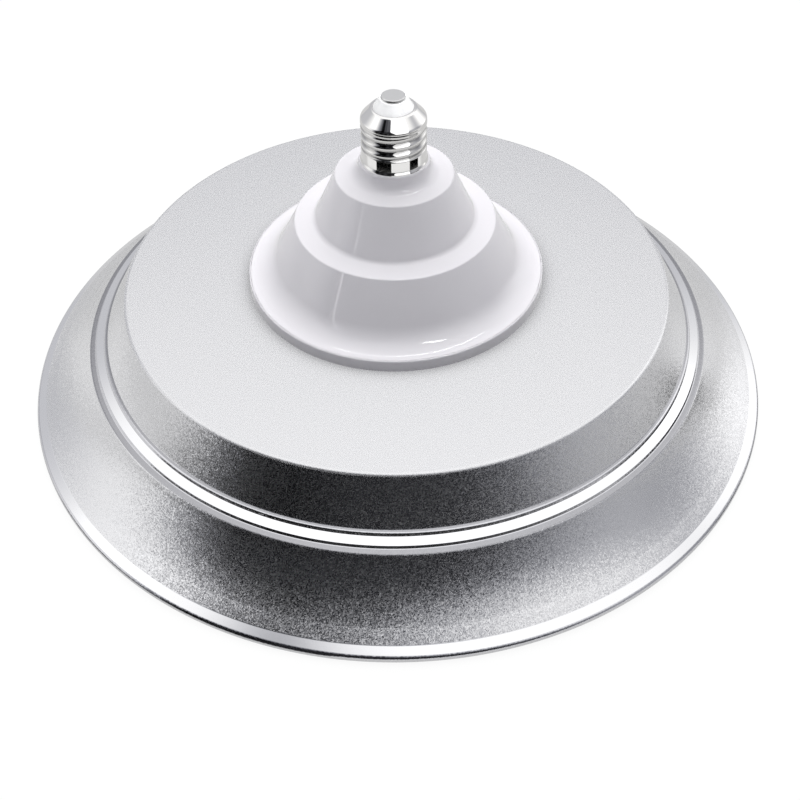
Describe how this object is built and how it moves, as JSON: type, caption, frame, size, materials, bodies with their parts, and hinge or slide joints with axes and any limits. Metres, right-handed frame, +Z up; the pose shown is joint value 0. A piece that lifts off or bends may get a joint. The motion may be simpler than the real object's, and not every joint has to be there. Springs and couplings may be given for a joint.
{
  "type": "high bay light",
  "caption": "Round screw-in ceiling lamp with a wide blasted aluminium shade, an opal cover below and a stepped white driver housing with a plated screw cap.",
  "frame": {"origin": "centre of the circle on which the shade's rolled rim stands", "axes": "+Z up along the lamp's axis, from the rim towards the screw cap; the picture's camera is on the -Y side and +X is to its right"},
  "size_m": [0.33, 0.33, 0.1373],
  "materials": {
    "blasted_aluminium": "fine blasted satin with a brighter lip and ledge",
    "white_moulding": "glossy",
    "plated_shell": "bright nickel plating",
    "white_insulator": "glossy",
    "plated_contact": "satin plating",
    "clear_silicone": "satin",
    "screw_steel": "bright zinc plating",
    "insulating_washer": "matt",
    "black_rubber": "matt",
    "thermal_pad": "matt",
    "white_circuit_board": "white solder mask",
    "led_phosphor": "satin",
    "ivory_plastic": "matt",
    "opal_cover": "milky and satin",
    "green_circuit_board": "satin solder mask",
    "black_sleeve": "glossy sleeve",
    "dark_ferrite": "matt",
    "black_plastic": "matt",
    "amber_tape": "glossy tape",
    "amber_plastic": "satin",
    "blue_coating": "satin",
    "fuse_body": "clear glass with metal ends",
    "red_insulation": "satin",
    "blue_insulation": "satin",
    "black_insulation": "satin"
  },
  "bodies": {
    "root": {"shade": "blasted_aluminium", "driver_housing": "white_moulding", "screw_shell": "plated_shell", "contact_insulator": "white_insulator", "contact_button": "plated_contact", "flange_seal": "clear_silicone", "assembly_screws": "screw_steel", "screw_washers": "insulating_washer", "wire_grommet": "black_rubber", "thermal_pad": "thermal_pad", "led_board": "white_circuit_board", "led_chips": "led_phosphor", "wire_terminal": "ivory_plastic", "diffuser_cover": "opal_cover", "cover_seal": "clear_silicone", "driver_board": "green_circuit_board", "driver_screws": "screw_steel", "input_capacitor": "black_sleeve", "output_capacitor": "black_sleeve", "transformer_core": "dark_ferrite", "transformer_bobbin": "black_plastic", "transformer_winding": "amber_tape", "filter_choke": "dark_ferrite", "film_capacitor": "amber_plastic", "bridge_rectifier": "black_plastic", "varistor": "blue_coating", "fuse": "fuse_body", "control_chip": "black_plastic", "power_transistor": "black_plastic", "output_diode": "black_plastic", "live_lead": "red_insulation", "neutral_lead": "blue_insulation", "positive_lead": "red_insulation", "negative_lead": "black_insulation"}
  },
  "joints": []
}
